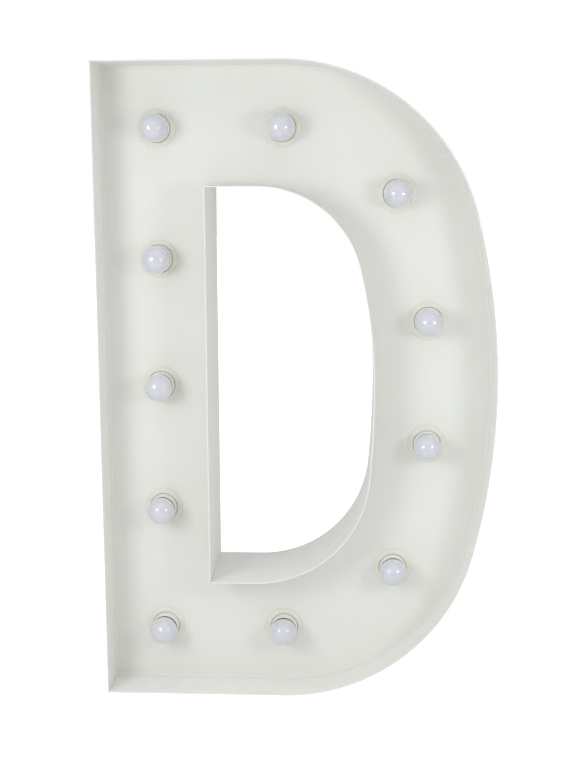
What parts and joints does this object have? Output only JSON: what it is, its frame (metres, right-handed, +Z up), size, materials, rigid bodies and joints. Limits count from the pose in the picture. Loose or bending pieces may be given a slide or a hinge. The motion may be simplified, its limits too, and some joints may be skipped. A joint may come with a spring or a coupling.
{
  "type": "light-up letter",
  "caption": "Free-standing sheet-metal channel letter with a recessed face, round screw-in bulbs, a rear cover, a mains inlet and a rocker switch.",
  "frame": {"origin": "middle of the underside, on the plane that the letter stands on", "axes": "+Z up, +Y from the front rim to the back, +X from the stem to the bowl"},
  "size_m": [0.566, 0.152, 0.914],
  "materials": {
    "wall_paint": "satin",
    "panel_white": "satin",
    "cover_white": "satin",
    "zinc_plate": "satin",
    "ring_cream": "satin",
    "holder_cream": "satin",
    "core_white": "matte",
    "contact_brass": "satin",
    "cable_white": "matte",
    "lead_black": "matte",
    "inlet_black": "matte",
    "rocker_black": "gloss",
    "globe_opal": "satin",
    "cap_nickel": "satin"
  },
  "bodies": {
    "case": {"stem_return": "wall_paint", "bowl_return": "wall_paint", "counter_stem_return": "wall_paint", "counter_bowl_return": "wall_paint", "face_panel": "panel_white", "panel_cleats": "zinc_plate", "rear_cleats": "zinc_plate", "rear_cover": "cover_white", "cover_screws": "zinc_plate", "cover_nuts": "zinc_plate", "shade_rings": "ring_cream", "lampholder_sleeves": "holder_cream", "lampholder_cores": "core_white", "lampholder_shells": "contact_brass", "lampholder_tongues": "contact_brass", "lampholder_terminals": "contact_brass", "lampholder_caps": "holder_cream", "loop_cables": "cable_white", "terminal_block": "core_white", "supply_leads": "lead_black", "earth_stud": "zinc_plate", "inlet_body": "inlet_black", "inlet_pins": "contact_brass", "switch_frame": "inlet_black", "switch_blades": "contact_brass"},
    "rocker": {"switch_rocker": "rocker_black"},
    "bulb_01_travel": {"bulb_01_contact": "contact_brass"},
    "bulb_01": {"bulb_01_globe": "globe_opal", "bulb_01_cap": "cap_nickel"},
    "bulb_02_travel": {"bulb_02_contact": "contact_brass"},
    "bulb_02": {"bulb_02_globe": "globe_opal", "bulb_02_cap": "cap_nickel"},
    "bulb_03_travel": {"bulb_03_contact": "contact_brass"},
    "bulb_03": {"bulb_03_globe": "globe_opal", "bulb_03_cap": "cap_nickel"},
    "bulb_04_travel": {"bulb_04_contact": "contact_brass"},
    "bulb_04": {"bulb_04_globe": "globe_opal", "bulb_04_cap": "cap_nickel"},
    "bulb_05_travel": {"bulb_05_contact": "contact_brass"},
    "bulb_05": {"bulb_05_globe": "globe_opal", "bulb_05_cap": "cap_nickel"},
    "bulb_06_travel": {"bulb_06_contact": "contact_brass"},
    "bulb_06": {"bulb_06_globe": "globe_opal", "bulb_06_cap": "cap_nickel"},
    "bulb_07_travel": {"bulb_07_contact": "contact_brass"},
    "bulb_07": {"bulb_07_globe": "globe_opal", "bulb_07_cap": "cap_nickel"},
    "bulb_08_travel": {"bulb_08_contact": "contact_brass"},
    "bulb_08": {"bulb_08_globe": "globe_opal", "bulb_08_cap": "cap_nickel"},
    "bulb_09_travel": {"bulb_09_contact": "contact_brass"},
    "bulb_09": {"bulb_09_globe": "globe_opal", "bulb_09_cap": "cap_nickel"},
    "bulb_10_travel": {"bulb_10_contact": "contact_brass"},
    "bulb_10": {"bulb_10_globe": "globe_opal", "bulb_10_cap": "cap_nickel"},
    "bulb_11_travel": {"bulb_11_contact": "contact_brass"},
    "bulb_11": {"bulb_11_globe": "globe_opal", "bulb_11_cap": "cap_nickel"}
  },
  "joints": [
    {"name": "switch_rock", "type": "hinge", "parent": "case", "child": "rocker", "pos_m": [-0.2025, 0.0685, 0.194], "axis": [-1, 0, 0], "range_deg": [0, 20]},
    {"name": "bulb_01_lift", "type": "slide", "parent": "case", "child": "bulb_01_travel", "axis": [0, -1, 0], "range_m": [0, 0.0109]},
    {"name": "bulb_01_turn", "type": "hinge", "parent": "bulb_01_travel", "child": "bulb_01", "pos_m": [-0.2025, 0, 0.8245], "axis": [0, -1, 0], "range_deg": [0, 1080]},
    {"name": "bulb_02_lift", "type": "slide", "parent": "case", "child": "bulb_02_travel", "axis": [0, -1, 0], "range_m": [0, 0.0109]},
    {"name": "bulb_02_turn", "type": "hinge", "parent": "bulb_02_travel", "child": "bulb_02", "pos_m": [-0.023, 0, 0.8245], "axis": [0, -1, 0], "range_deg": [0, 1080]},
    {"name": "bulb_03_lift", "type": "slide", "parent": "case", "child": "bulb_03_travel", "axis": [0, -1, 0], "range_m": [0, 0.0109]},
    {"name": "bulb_03_turn", "type": "hinge", "parent": "bulb_03_travel", "child": "bulb_03", "pos_m": [0.14132, 0, 0.73158], "axis": [0, -1, 0], "range_deg": [0, 1080]},
    {"name": "bulb_04_lift", "type": "slide", "parent": "case", "child": "bulb_04_travel", "axis": [0, -1, 0], "range_m": [0, 0.0109]},
    {"name": "bulb_04_turn", "type": "hinge", "parent": "bulb_04_travel", "child": "bulb_04", "pos_m": [0.18758, 0, 0.54925], "axis": [0, -1, 0], "range_deg": [0, 1080]},
    {"name": "bulb_05_lift", "type": "slide", "parent": "case", "child": "bulb_05_travel", "axis": [0, -1, 0], "range_m": [0, 0.0109]},
    {"name": "bulb_05_turn", "type": "hinge", "parent": "bulb_05_travel", "child": "bulb_05", "pos_m": [0.1879, 0, 0.36775], "axis": [0, -1, 0], "range_deg": [0, 1080]},
    {"name": "bulb_06_lift", "type": "slide", "parent": "case", "child": "bulb_06_travel", "axis": [0, -1, 0], "range_m": [0, 0.0109]},
    {"name": "bulb_06_turn", "type": "hinge", "parent": "bulb_06_travel", "child": "bulb_06", "pos_m": [0.13954, 0, 0.17957], "axis": [0, -1, 0], "range_deg": [0, 1080]},
    {"name": "bulb_07_lift", "type": "slide", "parent": "case", "child": "bulb_07_travel", "axis": [0, -1, 0], "range_m": [0, 0.0109]},
    {"name": "bulb_07_turn", "type": "hinge", "parent": "bulb_07_travel", "child": "bulb_07", "pos_m": [-0.023, 0, 0.0845], "axis": [0, -1, 0], "range_deg": [0, 1080]},
    {"name": "bulb_08_lift", "type": "slide", "parent": "case", "child": "bulb_08_travel", "axis": [0, -1, 0], "range_m": [0, 0.0109]},
    {"name": "bulb_08_turn", "type": "hinge", "parent": "bulb_08_travel", "child": "bulb_08", "pos_m": [-0.2025, 0, 0.0845], "axis": [0, -1, 0], "range_deg": [0, 1080]},
    {"name": "bulb_09_lift", "type": "slide", "parent": "case", "child": "bulb_09_travel", "axis": [0, -1, 0], "range_m": [0, 0.0109]},
    {"name": "bulb_09_turn", "type": "hinge", "parent": "bulb_09_travel", "child": "bulb_09", "pos_m": [-0.2025, 0, 0.2695], "axis": [0, -1, 0], "range_deg": [0, 1080]},
    {"name": "bulb_10_lift", "type": "slide", "parent": "case", "child": "bulb_10_travel", "axis": [0, -1, 0], "range_m": [0, 0.0109]},
    {"name": "bulb_10_turn", "type": "hinge", "parent": "bulb_10_travel", "child": "bulb_10", "pos_m": [-0.2025, 0, 0.4545], "axis": [0, -1, 0], "range_deg": [0, 1080]},
    {"name": "bulb_11_lift", "type": "slide", "parent": "case", "child": "bulb_11_travel", "axis": [0, -1, 0], "range_m": [0, 0.0109]},
    {"name": "bulb_11_turn", "type": "hinge", "parent": "bulb_11_travel", "child": "bulb_11", "pos_m": [-0.2025, 0, 0.6395], "axis": [0, -1, 0], "range_deg": [0, 1080]}
  ],
  "couplings": [
    {"joint": "bulb_01_lift", "follows": "bulb_01_turn", "m_per_rad": 0.00057757},
    {"joint": "bulb_02_lift", "follows": "bulb_02_turn", "m_per_rad": 0.00057757},
    {"joint": "bulb_03_lift", "follows": "bulb_03_turn", "m_per_rad": 0.00057757},
    {"joint": "bulb_04_lift", "follows": "bulb_04_turn", "m_per_rad": 0.00057757},
    {"joint": "bulb_05_lift", "follows": "bulb_05_turn", "m_per_rad": 0.00057757},
    {"joint": "bulb_06_lift", "follows": "bulb_06_turn", "m_per_rad": 0.00057757},
    {"joint": "bulb_07_lift", "follows": "bulb_07_turn", "m_per_rad": 0.00057757},
    {"joint": "bulb_08_lift", "follows": "bulb_08_turn", "m_per_rad": 0.00057757},
    {"joint": "bulb_09_lift", "follows": "bulb_09_turn", "m_per_rad": 0.00057757},
    {"joint": "bulb_10_lift", "follows": "bulb_10_turn", "m_per_rad": 0.00057757},
    {"joint": "bulb_11_lift", "follows": "bulb_11_turn", "m_per_rad": 0.00057757}
  ]
}
